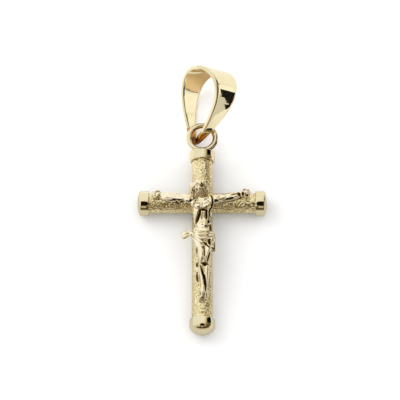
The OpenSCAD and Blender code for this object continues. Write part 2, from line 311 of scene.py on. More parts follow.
def one_skin(parts, grid):
    """One closed skin round all the closed forms, each given by its points and faces."""
    points, faces = [], []
    for part_points, part_faces in parts:
        start = len(points)
        points += list(part_points)
        faces += [tuple(i + start for i in face) for face in part_faces]
    return worked(mesh_of(points, faces), "REMESH", mode="VOXEL", voxel_size=grid, adaptivity=0)


def per_point(mesh, what):
    """The place ("co") or the normal of every point, one row each."""
    flat = np.empty(len(mesh.vertices) * 3, np.float32)
    mesh.vertices.foreach_get(what, flat)
    return flat.reshape(-1, 3).astype(float)


def set_points(mesh, points):
    mesh.vertices.foreach_set("co", points.astype(np.float32).ravel())
    mesh.update()


def all_smooth(mesh):
    mesh.polygons.foreach_set("use_smooth", [True] * len(mesh.polygons))


def ring_skin(rings):
    """Faces through rings of equal length, closed at both ends by fans."""
    n = len(rings[0])
    points = [p for r in rings for p in r]
    faces = []
    for k in range(len(rings) - 1):
        for i in range(n):
            j = (i + 1) % n
            faces.append((k * n + i, k * n + j, (k + 1) * n + j, (k + 1) * n + i))
    for k, flipped in ((0, True), (len(rings) - 1, False)):
        middle = len(points)
        points.append(tuple(np.mean(rings[k], axis=0)))
        for i in range(n):
            a, b = k * n + i, k * n + (i + 1) % n
            faces.append((middle, b, a) if flipped else (middle, a, b))
    return points, faces


def round_tube(start, end, radius, around=72):
    s, e = np.array(start, float), np.array(end, float)
    w = (e - s) / np.linalg.norm(e - s)
    u = np.cross(w, (0, 0, 1.0))
    u /= np.linalg.norm(u)
    v = np.cross(w, u)
    turns = np.linspace(0, 2 * math.pi, around, endpoint=False)
    return ring_skin([[tuple(s + (e - s) * t + radius * (math.cos(a) * u + math.sin(a) * v)) for a in turns]
                      for t in (0, 1)])


upright = round_tube((0, tube_low.y, axis_z), (0, tube_high.y, axis_z), tube_r)
crossbar = round_tube((tube_low.x, axis_y, axis_z), (tube_high.x, axis_y, axis_z), tube_r)
cross_mesh = one_skin((upright, crossbar), tube_grid)

# The skin is brought back to true round, up to a little before the tubes' ends
margin = 0.1
skin = per_point(cross_mesh, "co")
for _ in range(3):
    from_upright = np.hypot(skin[:, 0], skin[:, 2] - axis_z)
    from_crossbar = np.hypot(skin[:, 1] - axis_y, skin[:, 2] - axis_z)
    on_upright = from_upright < from_crossbar
    wall = on_upright & (from_upright > tube_r * 0.8)
    wall &= (skin[:, 1] > tube_low.y + margin) & (skin[:, 1] < tube_high.y - margin)
    k = tube_r / from_upright[wall]
    skin[wall, 0] *= k
    skin[wall, 2] = axis_z + (skin[wall, 2] - axis_z) * k
    wall = ~on_upright & (from_crossbar > tube_r * 0.8) & (abs(skin[:, 0]) < tube_high.x - margin)
    k = tube_r / from_crossbar[wall]
    skin[wall, 1] = axis_y + (skin[wall, 1] - axis_y) * k
    skin[wall, 2] = axis_z + (skin[wall, 2] - axis_z) * k
set_points(cross_mesh, skin)


def struck_tree():
    """Geometry tree that dents a skin all over with fine pointed marks."""
    t = bpy.data.node_groups.new("struck_marks", "GeometryNodeTree")
    face = t.interface
    face.new_socket("Metal skin", in_out="INPUT", socket_type="NodeSocketGeometry")
    for name, value in (("Mark size", mark_size), ("Mark depth", mark_depth), ("Field wave", field_wave)):
        face.new_socket(name, in_out="INPUT", socket_type="NodeSocketFloat").default_value = value
    face.new_socket("Metal", in_out="INPUT", socket_type="NodeSocketMaterial")
    face.new_socket("Struck skin", in_out="OUTPUT", socket_type="NodeSocketGeometry")
    gi, go = t.nodes.new("NodeGroupInput"), t.nodes.new("NodeGroupOutput")
    marks = add_node(t, "ShaderNodeTexVoronoi", Randomness=0.9)
    field = add_node(t, "ShaderNodeTexNoise", Detail=3.0)
    fine = tree_math(t, "DIVIDE", 1.0, gi.outputs["Mark size"])
    level = 0.6
    pit = tree_math(t, "MULTIPLY", tree_math(t, "SUBTRACT", marks.outputs["Distance"], level),
                    gi.outputs["Mark depth"])
    wave = tree_math(t, "MULTIPLY", tree_math(t, "SUBTRACT", field.outputs[0], level),
                     gi.outputs["Field wave"])
    # What lies above the level stays smooth
    push = tree_math(t, "MINIMUM", tree_math(t, "ADD", pit, wave), 0.0)
    outwards = t.nodes.new("GeometryNodeInputNormal")
    move = t.nodes.new("ShaderNodeVectorMath")
    move.operation = "SCALE"
    place = t.nodes.new("GeometryNodeSetPosition")
    real = t.nodes.new("GeometryNodeRealizeInstances")
    coat = t.nodes.new("GeometryNodeSetMaterial")
    join_sockets(t, (fine, marks.inputs["Scale"]),
                 (tree_math(t, "MULTIPLY", fine, 0.9), field.inputs["Scale"]),
                 (outwards.outputs[0], move.inputs[0]), (push, move.inputs["Scale"]),
                 (gi.outputs[0], place.inputs["Geometry"]), (move.outputs[0], place.inputs["Offset"]),
                 (place.outputs[0], real.inputs[0]), (real.outputs[0], coat.inputs["Geometry"]),
                 (gi.outputs["Metal"], coat.inputs["Material"]), (coat.outputs[0], go.inputs[0]))
    return t


def metal(name, colour, deep, rough, patch_size, grain, dents=None, hollows=("", ())):
    """Gold of one finish: its colour wanders between two shades, its gloss and grain with it.

    grain is the size and height of the finest relief. dents is the size of struck marks and the
    warmer, darker gold painted towards their middles as painted shade. hollows names an attribute that
    tells how deep or how far inside the surface lies, and the colours painted in from one value of it to
    another: painted shade and painted reflection.
    """
    m = bpy.data.materials.new(name)
    m.use_nodes = True
    t = m.node_tree
    finish = t.nodes["Principled BSDF"]
    finish.inputs["Metallic"].default_value = 1.0
    co = add_node(t, "ShaderNodeTexCoord")
    # The noise keeps mostly between 0.3 and 0.65
    patches = add_node(t, "ShaderNodeTexNoise", Scale=1 / (patch_size * MM), Detail=4.0, Roughness=0.6)
    join_sockets(t, (co.outputs["Object"], patches.inputs["Vector"]))
    shown = two_tones(t, patches.outputs[0], (0.3, deep), (0.62, colour))
    steps = []
    if dents:
        cells = add_node(t, "ShaderNodeTexVoronoi", Scale=1 / (dents[0] * MM), Randomness=0.9)
        join_sockets(t, (co.outputs["Object"], cells.inputs["Vector"]))
        steps.append((cells.outputs["Distance"], mark_edge, mark_core, dents[1]))
    attribute, colours = hollows
    if attribute:
        deep_at = t.nodes.new("ShaderNodeAttribute")
        deep_at.attribute_name = attribute
        steps += [(deep_at.outputs["Fac"], *step) for step in colours]
    for value, starts, covers, tone in steps:
        share = add_node(t, "ShaderNodeMapRange", From_Min=starts, From_Max=covers)
        mix = t.nodes.new("ShaderNodeMix")
        mix.data_type = "RGBA"
        mix.inputs[7].default_value = (*tone, 1)
        join_sockets(t, (value, share.inputs["Value"]), (share.outputs["Result"], mix.inputs[0]),
                     (shown, mix.inputs[6]))
        shown = mix.outputs[2]
    gloss = add_node(t, "ShaderNodeMapRange", From_Min=0.35, From_Max=0.65, To_Min=rough[0],
                     To_Max=rough[1])
    fine = add_node(t, "ShaderNodeTexNoise", Scale=1 / (grain[0] * MM), Detail=2.0, Roughness=0.7)
    bump = add_node(t, "ShaderNodeBump", Strength=1.0, Distance=grain[1] * MM)
    join_sockets(t, (shown, finish.inputs["Base Color"]), (patches.outputs[0], gloss.inputs["Value"]),
                 (gloss.outputs[0], finish.inputs["Roughness"]),
                 (co.outputs["Object"], fine.inputs["Vector"]), (fine.outputs[0], bump.inputs["Height"]),
                 (bump.outputs[0], finish.inputs["Normal"]))
    return m


# The stippled gold wanders at random between two tones; the struck marks take a darker, warmer gold towards
# their middles: painted shade in the dents.
stippled = metal("stippled_gold", (0.94, 0.86, 0.58), (0.75, 0.58, 0.25), (0.04, 0.12), 0.3, (0.14, 0.035),
                 dents=(mark_size, (0.54, 0.34, 0.09)))
striker = struck_tree()
sockets = {s.name: s.identifier for s in striker.interface.items_tree if s.in_out == "INPUT"}
struck = worked(cross_mesh, "NODES", node_group=striker, inputs=[
    (sockets["Mark size"], mark_size), (sockets["Mark depth"], mark_depth),
    (sockets["Field wave"], field_wave), (sockets["Metal"], stippled)])
all_smooth(struck)
piece("cross_tubes", struck, stippled, "cross")

# The three plain caps. Each is spun from sheet into a cup with a crisp rim and a domed end,
# pushed over the tube's end, soldered and polished.
# The inside attribute brings warm brown, then near black, into the ring's inner side and the bail's fold:
# painted reflection and shade
polished = metal("polished_gold", (0.83, 0.75, 0.50), (0.80, 0.70, 0.44), (0.02, 0.05), 1.2, (0.9, 0.004),
                 hollows=("inside", ((0.25, 0.9, (0.52, 0.25, 0.05)), (1.1, 2.0, (0.15, 0.06, 0.012)))))
cap_r = side_box[1].z / MM - axis_z
cup_gap, cup_floor, cup_corner = 0.03, 0.25, 0.06
bore_r = tube_r + cup_gap


def cup_profile(length, dome):
    """(radius, height) down the outside from the top of the dome and back up the inside."""
    shoulder = length - dome
    outer = [(cap_r * math.cos(math.radians(a)), shoulder + dome * math.sin(math.radians(a)))
             for a in np.linspace(90, 0, 15)]
    wall = [(cap_r - 0.004, shoulder - cup_corner), (cap_r - 0.012, shoulder * 0.5), (cap_r - 0.02, 0.08),
            (cap_r - 0.04, 0.025), (cap_r - 0.08, 0.0)]
    depth = shoulder - cup_floor
    bore = [(bore_r + 0.02, 0.0), (bore_r, 0.03), (bore_r, depth), (0.0, depth)]
    return outer + wall + bore


def spun(profile, base, axis, around=112):
    """The profile spun round an axis that starts at base."""
    base, w = np.array(base, float), np.array(axis, float)
    u = np.array((0, 0, 1.0))
    v = np.cross(w, u)
    points, rows = [], []
    for r, h in profile:
        if r < 1e-9:
            rows.append([len(points)])
            points.append(tuple(base + w * h))
            continue
        rows.append(range(len(points), len(points) + around))
        for a in np.linspace(0, 2 * math.pi, around, endpoint=False):
            points.append(tuple(base + w * h + r * (math.cos(a) * u + math.sin(a) * v)))
    faces = []
    for a, b in zip(rows, rows[1:]):
        for i in range(around):
            j = (i + 1) % around
            if len(a) == 1:
                faces.append((a[0], b[i], b[j]))
            elif len(b) == 1:
                faces.append((a[i], b[0], a[j]))
            else:
                faces.append((a[i], b[i], b[j], a[j]))
    return points, faces


def crisp(mesh, degrees):
    """Smooth all over but for the edges that turn by more than so many degrees."""
    all_smooth(mesh)
    mesh.set_sharp_from_angle(angle=math.radians(degrees))


right_box, foot_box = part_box("right_cap"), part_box("foot_cap")
for name, node, base, axis, length, dome in (
        ("left_end_cap", "left_cap", (side_box[1].x / MM, axis_y, axis_z), (-1, 0, 0), 1.27, 0.4),
        ("right_end_cap", "right_cap", (right_box[0].x / MM, axis_y, axis_z), (1, 0, 0), 1.27, 0.4),
        ("foot_end_cap", "foot_cap", (0, foot_box[1].y / MM, axis_z), (0, -1, 0), 1.7, 0.95)):
    cup = mesh_of(*spun(cup_profile(length, dome), base, axis))
    crisp(cup, 40)
    piece(name, cup, polished, node)

# The head cap. A cup like the others with a shallow dome, and the eye ring of round gold wire,
# bent, closed and soldered into the top of the dome, so that both are one piece.
head_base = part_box("head_cap")[0].y / MM
head_length, head_dome = 1.35, 0.3


def wire_ring(centre, ring_r, thick_r, around=144, across=40):
    points, faces = [], []
    for i in range(around):
        a = 2 * math.pi * i / around
        for j in range(across):
            b = 2 * math.pi * j / across
            r = ring_r + thick_r * math.cos(b)
            points.append((centre[0] + r * math.cos(a), centre[1] + r * math.sin(a),
                           centre[2] + thick_r * math.sin(b)))
            i2, j2 = (i + 1) % around, (j + 1) % across
            faces.append((i * across + j, i2 * across + j, i2 * across + j2, i * across + j2))
    return points, faces


def mark(mesh, attribute, share):
    """Keeps a share for each point, under the name that the metal looks for."""
    kept = mesh.attributes.new(attribute, "FLOAT", "POINT")
    kept.data.foreach_set("value", share.astype(np.float32))


head_cup = mesh_of(*spun(cup_profile(head_length, head_dome), (0, head_base, axis_z), (0, 1, 0)))
eye = bpy.data.objects.new("eye", mesh_of(*wire_ring((0, eye_y, axis_z), eye_r, wire_r)))
scene.collection.objects.link(eye)
head_mesh = worked(head_cup, "BOOLEAN", operation="UNION", solver="EXACT", object=eye)
bpy.data.objects.remove(eye)

# Painted reflection and shade on the ring's inner side: warm brown, going to near black at the left
skin = per_point(head_mesh, "co")
from_eye = np.hypot(skin[:, 0], skin[:, 1] - eye_y)
ring_inner_shade = np.clip((eye_r - 0.20 - from_eye) / 0.08, 0, 1)
mark(head_mesh, "inside", ring_inner_shade * (1 + np.clip(-skin[:, 0] / 0.9 - 0.1, 0, 1)))
crisp(head_mesh, 40)
piece("head_cap_with_eye", head_mesh, polished, "head_cap")

# The bail. A strap cut wide in the middle and narrow at its ends, bent into a drop through the
# eye ring, its ends soldered together at the fold, then polished. It lies rolled to one side.
strap_len, strap_across, strap_thick = 8.7, 5.95, 0.44
crown_w, fold_w = 3.85, 0.56
edge_r, crown_r, soft_w = 0.07, 0.11, 0.25
fullness = 0.5
strap_steps = 288
widest = (math.sqrt(1 + 8 * fullness * fullness) - 1) / (4 * fullness)
half = strap_across / 2 / (math.sqrt(1 - widest * widest) * (1 + fullness * widest))


def strap_section(a):
    """Points round the strap's section at one place of the drop."""
    at = np.array((half * math.sin(a) * (1 + fullness * math.cos(a)), strap_len / 2 * (1 + math.cos(a))))
    go_x, go_y = half * (math.cos(a) + fullness * math.cos(2 * a)), -strap_len / 2 * math.sin(a)
    inward = np.array((go_y, -go_x)) / math.hypot(go_x, go_y)
    h = (fold_w + (crown_w - fold_w) * at[1] / strap_len) / 2
    ring = []
    for cx, cz, start in ((crown_r, h - soft_w, 90), (crown_r, -h + soft_w, 180)):
        for d in range(0, 91, 10):
            t = math.radians(start + d)
            ring.append((cx + crown_r * math.cos(t), cz + soft_w * math.sin(t)))
        if start == 90:
            ring += [(0.0, z) for z in np.linspace(h - soft_w, -h + soft_w, 9)[1:-1]]
    for cx, cz, start in ((strap_thick - edge_r, -h + edge_r, 270), (strap_thick - edge_r, h - edge_r, 0)):
        for d in range(0, 91, 15):
            t = math.radians(start + d)
            ring.append((cx + edge_r * math.cos(t), cz + edge_r * math.sin(t)))
        if start == 270:
            ring += [(strap_thick, z) for z in np.linspace(-h + edge_r, h - edge_r, 11)[1:-1]]
    return [(*(at + inward * depth), z) for depth, z in ring]


stations = [2 * math.pi * i / strap_steps for i in range(strap_steps)]
sections = [strap_section(a) for a in stations]
girth = len(sections[0])
strap_faces = []
for i in range(strap_steps):
    here, there = i * girth, (i + 1) % strap_steps * girth
    strap_faces += [(here + j, there + j, there + (j + 1) % girth, here + (j + 1) % girth)
                    for j in range(girth)]
turned = (Matrix.Rotation(math.radians(-16), 4, "Z") @ Matrix.Rotation(math.radians(25), 4, "X")
          @ Matrix.Rotation(math.radians(-39.5), 4, "Y"))
strap_points = np.array([p for s in sections for p in s]) @ np.array(turned.to_3x3()).T
bail_low, bail_high = (np.array(v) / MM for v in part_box("bail"))
strap_points += (bail_low + bail_high) / 2 - (strap_points.min(0) + strap_points.max(0)) / 2
strap_mesh = mesh_of(strap_points, strap_faces)

# The fold: partly the redder solder of its join, partly painted reflection and shade, warm brown going
# to near black at its very end
from_fold = np.repeat([strap_len / 2 * (1 + math.cos(a)) for a in stations], girth)
fold_shade = np.clip((1.6 - from_fold) / 0.3, 0, 1)
mark(strap_mesh, "inside", fold_shade * (1 + np.clip((1.0 - from_fold) / 0.6, 0, 1)))
crisp(strap_mesh, 60)
piece("bail_strap", strap_mesh, polished, "bail")

# The corpus. A small figure cast in one piece from a carved pattern, bright dipped and rubbed over,
# its back hollowed to the tubes and soldered on. The face is a plain calm one.
centre = np.array((0.0, axis_y, axis_z))
cast_grid = 0.0405


def curve_through(rows, steps):
    """Rows of numbers along a smooth curve through the given rows."""
    r = np.array(rows, float)
    ends = np.vstack([2 * r[0] - r[1], r, 2 * r[-1] - r[-2]])
    out = []
    for k in range(1, len(ends) - 2):
        a, b, c, d = ends[k - 1:k + 3]
        for t in np.linspace(0, 1, steps, endpoint=False):
            out.append(0.5 * (2 * b + (c - a) * t + (2 * a - 5 * b + 4 * c - d) * t ** 2
                              + (3 * b - a - 3 * c + d) * t ** 3))
    out.append(r[-1])
    return np.array(out)


def limb(rows, steps=5, around=20):
    """Rounded form through rows of (x, y, height, half width, half depth)."""
    c = curve_through(rows, steps)
    along_it = np.gradient(c[:, :3], axis=0)
    along_it /= np.linalg.norm(along_it, axis=1)[:, None]
    turns = np.linspace(0, 2 * math.pi, around, endpoint=False)

    def ring(k, shift, size):
        w = along_it[k]
        u = np.cross(w, (0, 0, 1.0))
        if np.linalg.norm(u) < 1e-3:
            u = np.array((1.0, 0, 0))
        u /= np.linalg.norm(u)
        v = np.cross(u, w)
        base = c[k, :3] + w * shift
        wide, tall = max(c[k, 3], 0.01) * size, max(c[k, 4], 0.01) * size
        return [tuple(centre + base + wide * math.cos(a) * u + tall * math.sin(a) * v) for a in turns]

    r0, r1 = min(c[0, 3:]), min(c[-1, 3:])
    dome = [(math.sin(math.radians(f)), math.cos(math.radians(f))) for f in (28, 55, 80)]
    return ring_skin([ring(0, -r0 * out, size) for out, size in reversed(dome)]
                     + [ring(k, 0, 1) for k in range(len(c))]
                     + [ring(len(c) - 1, r1 * out, size) for out, size in dome])


def blob(at, radii, turned_by=0.0, around=20, rows=12):
    """Egg form: centre, three half sizes and its turn in the plane of the cross."""
    ca, sa = math.cos(math.radians(turned_by)), math.sin(math.radians(turned_by))
    rings = []
    for f in np.linspace(-82, 82, rows):
        y, s = radii[1] * math.sin(math.radians(f)), math.cos(math.radians(f))
        ring = []
        for a in np.linspace(0, 2 * math.pi, around, endpoint=False):
            x, z = radii[0] * s * math.cos(a), radii[2] * s * math.sin(a)
            turned = (at[0] + x * ca - y * sa, at[1] + x * sa + y * ca, at[2] + z)
            ring.append(tuple(centre + np.array(turned)))
        rings.append(ring)
    return ring_skin(rings)


# The closed forms that the figure is made of, in millimetres from where the tubes' axes cross
forms = []

# Trunk: shoulders, chest, drawn-in waist, belly and hips
forms.append(limb([(-0.30, -0.10, 1.50, 0.34, 0.44), (-0.05, -0.42, 1.42, 0.90, 0.52),
                   (0.02, -0.90, 1.32, 1.10, 0.74), (0.03, -1.40, 1.28, 1.12, 0.82),
                   (0.02, -1.85, 1.22, 1.06, 0.78), (0.02, -2.35, 1.14, 0.99, 0.68),
                   (0.04, -2.95, 1.12, 0.95, 0.70), (0.05, -3.50, 1.14, 0.97, 0.78),
                   (0.06, -4.05, 1.14, 1.02, 0.80), (0.08, -4.60, 1.08, 1.00, 0.70)]))
forms += [blob((-0.46, -1.00, 1.66), (0.50, 0.42, 0.48), -12),
          blob((0.50, -0.96, 1.66), (0.50, 0.42, 0.48), 14),
          blob((-0.90, -0.52, 1.24), (0.40, 0.40, 0.48)), blob((0.96, -0.40, 1.26), (0.38, 0.40, 0.48)),
          blob((-0.02, -0.52, 1.64), (0.44, 0.24, 0.28)), blob((0.05, -3.30, 1.50), (0.58, 0.66, 0.50)),
          blob((-0.66, -1.66, 1.36), (0.40, 0.56, 0.52), 14),
          blob((0.74, -1.66, 1.34), (0.38, 0.56, 0.50), -14),
          blob((-0.72, -3.60, 1.34), (0.30, 0.44, 0.44), -18),
          blob((0.80, -3.60, 1.34), (0.28, 0.44, 0.44), 18)]
# Neck
forms.append(limb([(-0.40, 0.28, 1.62, 0.28, 0.32), (-0.22, -0.20, 1.55, 0.32, 0.36),
                   (-0.08, -0.55, 1.50, 0.42, 0.36)]))

# Arms, from the shoulders out along the upper front of the crossbar, the right one rising more:
# a rounded body with a flatter front, then the swells of the muscles
for rows in ([(-0.66, -0.28, 1.28, 0.46, 0.50), (-1.15, -0.04, 1.34, 0.52, 0.54),
              (-1.75, 0.09, 1.30, 0.55, 0.50), (-2.30, 0.14, 1.26, 0.51, 0.44),
              (-2.75, 0.17, 1.26, 0.52, 0.46), (-3.30, 0.21, 1.26, 0.54, 0.48),
              (-3.90, 0.29, 1.22, 0.49, 0.43), (-4.40, 0.40, 1.16, 0.36, 0.36),
              (-4.60, 0.44, 1.16, 0.30, 0.34)],
             [(0.70, -0.24, 1.32, 0.46, 0.50), (1.20, -0.08, 1.36, 0.50, 0.55),
              (1.75, 0.04, 1.34, 0.49, 0.52), (2.25, 0.12, 1.30, 0.44, 0.46),
              (2.75, 0.21, 1.30, 0.45, 0.50), (3.30, 0.33, 1.30, 0.46, 0.52),
              (3.85, 0.46, 1.26, 0.40, 0.46), (4.20, 0.54, 1.22, 0.31, 0.39),
              (4.40, 0.58, 1.22, 0.28, 0.38)]):
    forms.append(limb([(x, y, z - 0.12, w - 0.06, d - 0.06) for x, y, z, w, d in rows]))
    forms.append(limb([(x, y, z + 0.10, w, 0.23) for x, y, z, w, d in rows]))
forms += [blob((-1.40, 0.20, 1.52), (0.50, 0.28, 0.18), 12),
          blob((-3.10, 0.36, 1.44), (0.54, 0.28, 0.17), 10),
          blob((1.48, 0.14, 1.56), (0.50, 0.30, 0.18), 14),
          blob((3.10, 0.38, 1.48), (0.54, 0.28, 0.18), 14),
          blob((-2.55, 0.28, 1.44), (0.24, 0.26, 0.18)), blob((2.52, 0.26, 1.48), (0.24, 0.26, 0.18))]


def hand(side, wrist, lean_up=6):
    """Palm, four fingers half closed, thumb and the head of the nail."""
    wx, wy, wh = wrist
    up_x, up_y = math.cos(math.radians(lean_up)), math.sin(math.radians(lean_up))

    def at(out, across, high):
        return (wx + side * (out * up_x - across * up_y), wy + out * up_y + across * up_x, wh + high)

    made = [blob(at(0.30, 0.0, 0.10), (0.36, 0.38, 0.24), side * lean_up)]
    for across, long in ((0.30, 0.52), (0.10, 0.60), (-0.10, 0.57), (-0.29, 0.46)):
        made.append(limb([(*at(0.40, across, 0.10), 0.10, 0.12),
                          (*at(0.40 + long * 0.45, across * 1.1, 0.24), 0.10, 0.12),
                          (*at(0.36 + long * 0.85, across * 1.12, 0.15), 0.09, 0.10),
                          (*at(0.34 + long, across * 1.10, -0.02), 0.07, 0.08)], steps=4, around=12))
    made.append(limb([(*at(0.10, 0.28, 0.12), 0.10, 0.12), (*at(0.28, 0.46, 0.24), 0.09, 0.11),
                      (*at(0.48, 0.42, 0.28), 0.07, 0.09)], steps=4, around=12))
    made.append(blob(at(0.28, 0.0, 0.36), (0.12, 0.12, 0.09)))
    return made


forms += hand(-1, (-4.50, 0.42, 1.22)) + hand(1, (4.28, 0.58, 1.30))

# Legs, the knees drawn together and the shins crossed, one foot over the other
forms.append(limb([(-0.40, -4.30, 1.30, 0.52, 0.60), (-0.40, -5.00, 1.38, 0.54, 0.62),
                   (-0.30, -5.80, 1.54, 0.49, 0.64), (-0.14, -6.50, 1.76, 0.45, 0.66),
                   (-0.06, -7.00, 1.78, 0.40, 0.62), (-0.06, -7.50, 1.52, 0.32, 0.52),
                   (-0.08, -8.10, 1.40, 0.34, 0.50), (-0.02, -8.80, 1.32, 0.31, 0.46),
                   (0.04, -9.60, 1.28, 0.26, 0.42), (0.08, -10.10, 1.30, 0.25, 0.42)]))
forms.append(limb([(0.52, -4.30, 1.26, 0.52, 0.58), (0.58, -5.00, 1.34, 0.52, 0.60),
                   (0.58, -5.80, 1.48, 0.47, 0.62), (0.52, -6.45, 1.66, 0.42, 0.62),
                   (0.48, -6.90, 1.66, 0.37, 0.58), (0.46, -7.40, 1.42, 0.30, 0.48),
                   (0.48, -8.10, 1.32, 0.33, 0.48), (0.46, -8.80, 1.24, 0.29, 0.44),
                   (0.40, -9.60, 1.18, 0.24, 0.40), (0.32, -10.30, 1.12, 0.21, 0.34)]))
forms += [blob((-0.08, -6.84, 2.04), (0.28, 0.34, 0.28)), blob((0.50, -6.74, 1.94), (0.26, 0.32, 0.26)),
          blob((-0.10, -8.05, 1.58), (0.27, 0.54, 0.34)), blob((0.50, -8.05, 1.48), (0.25, 0.52, 0.32))]
forms.append(limb([(0.07, -10.00, 1.44, 0.25, 0.38), (0.07, -10.55, 1.50, 0.31, 0.36),
                   (0.04, -11.05, 1.34, 0.35, 0.28), (0.02, -11.40, 1.16, 0.32, 0.20)]))
forms.append(limb([(0.34, -10.20, 1.14, 0.23, 0.34), (0.38, -10.70, 1.14, 0.27, 0.32),
                   (0.36, -11.20, 1.04, 0.27, 0.24)]))
for k, x in enumerate((-0.28, -0.11, 0.04, 0.18, 0.31)):
    forms.append(limb([(x * 0.9, -11.20, 1.30, 0.09, 0.12),
                       (x, -11.44 + 0.02 * k, 1.28, 0.075, 0.10),
                       (x * 1.08, -11.66 + 0.07 * k, 1.16, 0.085 - 0.007 * k, 0.09)],
                      steps=4, around=12))
forms.append(blob((0.05, -10.75, 1.80), (0.12, 0.12, 0.10)))
# Low web of metal beside the shins
forms.append(limb([(-0.50, -7.00, 0.98, 0.14, 0.18), (-0.57, -7.50, 0.97, 0.24, 0.22),
                   (-0.54, -8.15, 0.96, 0.16, 0.20), (-0.57, -8.80, 0.96, 0.24, 0.22),
                   (-0.46, -9.70, 0.98, 0.14, 0.18)]))

# Loincloth: a wrap with swags across it, a knot and loose end at the left, a fall at the right
forms.append(limb([(0.06, -3.92, 1.20, 1.06, 0.82), (0.08, -4.25, 1.18, 1.15, 0.90),
                   (0.08, -4.75, 1.18, 1.15, 0.90), (0.10, -5.15, 1.20, 1.04, 0.86),
                   (0.26, -5.50, 1.28, 0.80, 0.74)]))
for start, mid, end, high, thick in ((-3.98, -4.02, -3.92, 2.04, 0.12),
                                     (-4.02, -4.42, -4.16, 2.10, 0.15),
                                     (-4.12, -4.86, -4.50, 2.12, 0.16),
                                     (-4.24, -5.26, -5.02, 2.06, 0.15),
                                     (-4.60, -5.62, -5.50, 1.94, 0.11)):
    forms.append(limb([(-1.04, start, 1.36, 0.10, 0.18),
                       (-0.62, start * 0.45 + mid * 0.55, high - 0.22, thick, 0.20),
                       (0.00, mid, high - 0.06, thick * 1.15, 0.22),
                       (0.62, mid * 0.6 + end * 0.4, high - 0.18, thick, 0.20),
                       (1.14, end, 1.34, 0.10, 0.18)], around=14))
forms.append(limb([(0.98, -4.05, 1.05, 0.22, 0.34), (1.12, -4.50, 1.00, 0.28, 0.42),
                   (1.16, -5.00, 0.94, 0.30, 0.44), (1.16, -5.40, 0.86, 0.27, 0.40),
                   (1.18, -5.72, 0.80, 0.20, 0.30)]))
for x0, x1, low, high in ((0.84, 0.90, -5.50, 1.46), (1.05, 1.10, -5.74, 1.44),
                          (1.27, 1.34, -5.84, 1.20)):
    forms.append(limb([(x0, -4.00, high, 0.09, 0.16), (x0 + 0.05, -4.60, high + 0.03, 0.11, 0.18),
                       (x1, -5.20, high - 0.06, 0.11, 0.18), (x1, low, high - 0.26, 0.09, 0.13)],
                      around=12))
forms += [blob((-1.02, -4.02, 1.36), (0.28, 0.26, 0.26), 20),
          blob((-1.20, -4.08, 1.36), (0.18, 0.28, 0.24))]
forms.append(limb([(-1.05, -4.00, 1.30, 0.18, 0.20), (-1.35, -3.94, 1.30, 0.28, 0.20),
                   (-1.70, -4.02, 1.26, 0.40, 0.17), (-2.00, -4.16, 1.18, 0.43, 0.14),
                   (-2.16, -4.24, 1.12, 0.40, 0.10)]))
for a, b, c in ((0.20, 0.36, 0.38), (0.02, 0.08, 0.06), (-0.14, -0.24, -0.28)):
    forms.append(limb([(-1.10, -4.00 + a * 0.4, 1.46, 0.06, 0.10), (-1.65, -4.04 + b, 1.40, 0.08, 0.11),
                       (-2.12, -4.24 + c, 1.22, 0.06, 0.08)], around=10))

# Head, bowed to the left: skull, parted hair in long locks, brow, closed eyes, nose and beard
head_at = np.array((-0.46, 0.98, 1.96))
lean_left, bow = math.radians(16), math.radians(26)


def on_head(a, b, c):
    """A place on the head: a to its side, b towards the crown, c out of the face."""
    b, c = b * math.cos(bow) - c * math.sin(bow), c * math.cos(bow) + b * math.sin(bow)
    return (head_at[0] + a * math.cos(lean_left) - b * math.sin(lean_left),
            head_at[1] + a * math.sin(lean_left) + b * math.cos(lean_left), head_at[2] + c)


def egg(a, b, c, ra, rb, rc):
    return blob(on_head(a, b, c), (ra, rb, rc), math.degrees(lean_left))


def lock(rows):
    """A lock of hair or a fold of the face, through places on the head with a radius each."""
    return limb([(*on_head(a, b, c), r, r) for a, b, c, r in rows], around=12)


forms += [egg(0, 0.22, -0.04, 0.66, 0.70, 0.60), egg(0, -0.26, 0.10, 0.43, 0.54, 0.46)]
forms += [egg(s * 0.19, 0.02, 0.49, 0.12, 0.06, 0.08) for s in (-1, 1)]
forms += [egg(s * 0.27, -0.16, 0.40, 0.15, 0.15, 0.14) for s in (-1, 1)]
forms.append(lock([(-0.34, 0.10, 0.42, 0.05), (-0.19, 0.16, 0.55, 0.06), (0.0, 0.12, 0.58, 0.06),
                   (0.19, 0.16, 0.55, 0.06), (0.34, 0.10, 0.42, 0.05)]))
forms.append(lock([(0, 0.14, 0.58, 0.05), (0, 0.0, 0.66, 0.06), (0, -0.13, 0.74, 0.08),
                   (0, -0.17, 0.66, 0.07)]))
forms += [lock([(0, -0.23, 0.62, 0.05), (s * 0.13, -0.28, 0.58, 0.055), (s * 0.25, -0.40, 0.46, 0.05)])
          for s in (-1, 1)]
forms.append(egg(0, -0.33, 0.58, 0.11, 0.045, 0.055))
for k, a in enumerate((-0.30, -0.19, -0.07, 0.06, 0.18, 0.30)):
    forms.append(lock([(a, -0.36, 0.44, 0.10), (a * 0.9, -0.58, 0.45, 0.11),
                       (a * 0.65, -0.80, 0.37, 0.09), (a * 0.4, -0.96, 0.27, 0.05)]))
for s in (-1, 1):
    for k in range(6):
        t = k / 5
        wave = 0.06 * math.sin(2.1 * k)
        forms.append(lock([(s * 0.03, 0.88 - 0.02 * t, 0.42 - 0.62 * t, 0.12),
                           (s * (0.32 + 0.32 * t), 0.68 - 0.04 * t, 0.54 - 0.62 * t, 0.16),
                           (s * (0.60 + 0.20 * t), 0.26, 0.40 - 0.54 * t, 0.16),
                           (s * (0.64 + 0.24 * t) + wave, -0.22, 0.32 - 0.46 * t, 0.15),
                           (s * (0.62 + 0.28 * t) - wave, -0.62, 0.22 - 0.38 * t, 0.14),
                           (s * (0.50 + 0.34 * t), -1.02 - 0.06 * t, 0.10 - 0.24 * t, 0.07)]))

